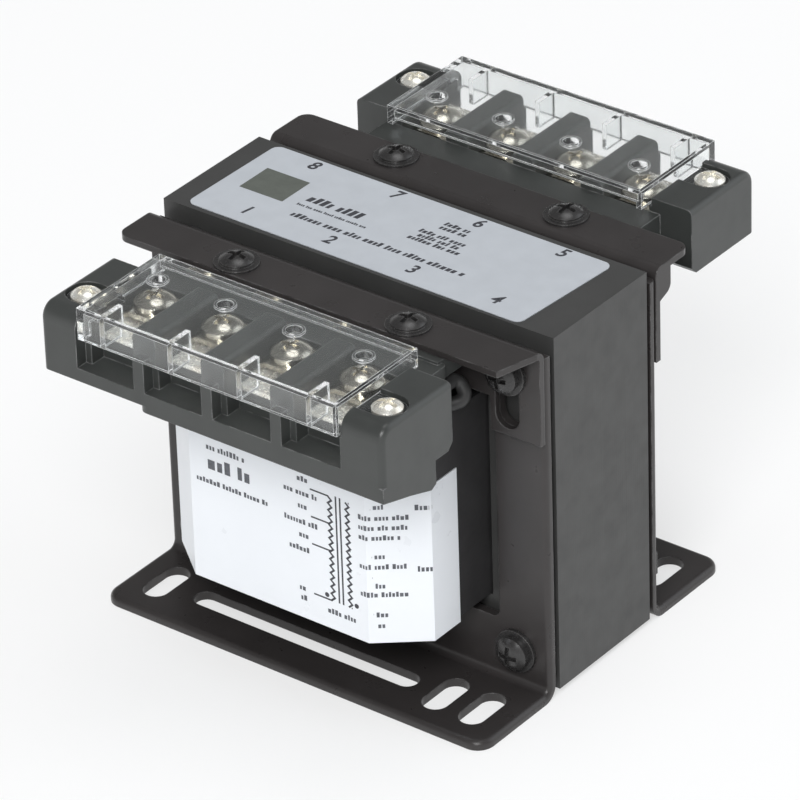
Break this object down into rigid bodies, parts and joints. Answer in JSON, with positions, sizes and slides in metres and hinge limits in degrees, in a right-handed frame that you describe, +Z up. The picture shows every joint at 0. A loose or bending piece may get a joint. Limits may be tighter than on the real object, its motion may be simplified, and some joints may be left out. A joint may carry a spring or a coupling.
{
  "type": "control transformer",
  "caption": "Open-frame control transformer with slotted foot brackets and screw terminal blocks under clear covers, for panel mounting.",
  "frame": {"origin": "centre of the bounding box's base, on the mounting surface", "axes": "+Z up, X along the terminal strips, the labelled coil face and one terminal block towards -Y"},
  "size_m": [0.0762, 0.0982, 0.0675],
  "materials": {
    "core_paint": "satin black paint over laminations",
    "bracket_paint": "semi-gloss black paint",
    "black_screw": "black finished steel",
    "insulation": "black fibre",
    "nylon": "black nylon",
    "magnet_wire": "enamelled copper wire",
    "coil_tape": "black tape, satin",
    "white_label": "white coated label",
    "sleeving": "black sleeving",
    "block_plastic": "satin black moulding",
    "plated_steel": "bright nickel plate",
    "clear_plastic": "clear polycarbonate",
    "silver_label": "silver-grey printed label"
  },
  "bodies": {
    "transformer": {"e_laminations": "core_paint", "i_laminations": "core_paint", "front_foot_bracket": "bracket_paint", "rear_foot_bracket": "bracket_paint", "front_terminal_angle": "bracket_paint", "rear_terminal_angle": "bracket_paint", "core_bolts": "black_screw", "core_nuts": "black_screw", "core_washers": "black_screw", "core_spacers": "insulation", "bobbin": "nylon", "primary_winding": "magnet_wire", "secondary_winding": "magnet_wire", "coil_wrap": "coil_tape", "coil_label": "white_label", "front_leads": "sleeving", "rear_leads": "sleeving", "front_terminal_block": "block_plastic", "rear_terminal_block": "block_plastic", "front_terminal_plates": "plated_steel", "rear_terminal_plates": "plated_steel", "front_clear_cover": "clear_plastic", "rear_clear_cover": "clear_plastic", "cover_screws": "plated_steel", "flange_screws": "black_screw", "top_label": "silver_label"},
    "clamp_1": {"terminal_clamp_1": "plated_steel"},
    "screw_1": {"terminal_screw_1": "plated_steel"},
    "clamp_2": {"terminal_clamp_2": "plated_steel"},
    "screw_2": {"terminal_screw_2": "plated_steel"},
    "clamp_3": {"terminal_clamp_3": "plated_steel"},
    "screw_3": {"terminal_screw_3": "plated_steel"},
    "clamp_4": {"terminal_clamp_4": "plated_steel"},
    "screw_4": {"terminal_screw_4": "plated_steel"},
    "clamp_5": {"terminal_clamp_5": "plated_steel"},
    "screw_5": {"terminal_screw_5": "plated_steel"},
    "clamp_6": {"terminal_clamp_6": "plated_steel"},
    "screw_6": {"terminal_screw_6": "plated_steel"},
    "clamp_7": {"terminal_clamp_7": "plated_steel"},
    "screw_7": {"terminal_screw_7": "plated_steel"},
    "clamp_8": {"terminal_clamp_8": "plated_steel"},
    "screw_8": {"terminal_screw_8": "plated_steel"}
  },
  "joints": [
    {"name": "clamp_lift_1", "type": "slide", "parent": "transformer", "child": "clamp_1", "axis": [0, 0, 1], "range_m": [0, 0.00159]},
    {"name": "screw_turn_1", "type": "hinge", "parent": "clamp_1", "child": "screw_1", "pos_m": [-0.02051, -0.036, 0.0622], "axis": [0, 0, 1], "range_deg": [0, 720]},
    {"name": "clamp_lift_2", "type": "slide", "parent": "transformer", "child": "clamp_2", "axis": [0, 0, 1], "range_m": [0, 0.00159]},
    {"name": "screw_turn_2", "type": "hinge", "parent": "clamp_2", "child": "screw_2", "pos_m": [-0.00717, -0.036, 0.0622], "axis": [0, 0, 1], "range_deg": [0, 720]},
    {"name": "clamp_lift_3", "type": "slide", "parent": "transformer", "child": "clamp_3", "axis": [0, 0, 1], "range_m": [0, 0.00159]},
    {"name": "screw_turn_3", "type": "hinge", "parent": "clamp_3", "child": "screw_3", "pos_m": [0.00617, -0.036, 0.0622], "axis": [0, 0, 1], "range_deg": [0, 720]},
    {"name": "clamp_lift_4", "type": "slide", "parent": "transformer", "child": "clamp_4", "axis": [0, 0, 1], "range_m": [0, 0.00159]},
    {"name": "screw_turn_4", "type": "hinge", "parent": "clamp_4", "child": "screw_4", "pos_m": [0.01951, -0.036, 0.0622], "axis": [0, 0, 1], "range_deg": [0, 720]},
    {"name": "clamp_lift_5", "type": "slide", "parent": "transformer", "child": "clamp_5", "axis": [0, 0, 1], "range_m": [0, 0.00159]},
    {"name": "screw_turn_5", "type": "hinge", "parent": "clamp_5", "child": "screw_5", "pos_m": [0.02051, 0.036, 0.0622], "axis": [0, 0, 1], "range_deg": [0, 720]},
    {"name": "clamp_lift_6", "type": "slide", "parent": "transformer", "child": "clamp_6", "axis": [0, 0, 1], "range_m": [0, 0.00159]},
    {"name": "screw_turn_6", "type": "hinge", "parent": "clamp_6", "child": "screw_6", "pos_m": [0.00717, 0.036, 0.0622], "axis": [0, 0, 1], "range_deg": [0, 720]},
    {"name": "clamp_lift_7", "type": "slide", "parent": "transformer", "child": "clamp_7", "axis": [0, 0, 1], "range_m": [0, 0.00159]},
    {"name": "screw_turn_7", "type": "hinge", "parent": "clamp_7", "child": "screw_7", "pos_m": [-0.00617, 0.036, 0.0622], "axis": [0, 0, 1], "range_deg": [0, 720]},
    {"name": "clamp_lift_8", "type": "slide", "parent": "transformer", "child": "clamp_8", "axis": [0, 0, 1], "range_m": [0, 0.00159]},
    {"name": "screw_turn_8", "type": "hinge", "parent": "clamp_8", "child": "screw_8", "pos_m": [-0.01951, 0.036, 0.0622], "axis": [0, 0, 1], "range_deg": [0, 720]}
  ],
  "couplings": [
    {"joint": "screw_turn_1", "follows": "clamp_lift_1", "rad_per_m": 7915},
    {"joint": "screw_turn_2", "follows": "clamp_lift_2", "rad_per_m": 7915},
    {"joint": "screw_turn_3", "follows": "clamp_lift_3", "rad_per_m": 7915},
    {"joint": "screw_turn_4", "follows": "clamp_lift_4", "rad_per_m": 7915},
    {"joint": "screw_turn_5", "follows": "clamp_lift_5", "rad_per_m": 7915},
    {"joint": "screw_turn_6", "follows": "clamp_lift_6", "rad_per_m": 7915},
    {"joint": "screw_turn_7", "follows": "clamp_lift_7", "rad_per_m": 7915},
    {"joint": "screw_turn_8", "follows": "clamp_lift_8", "rad_per_m": 7915}
  ]
}
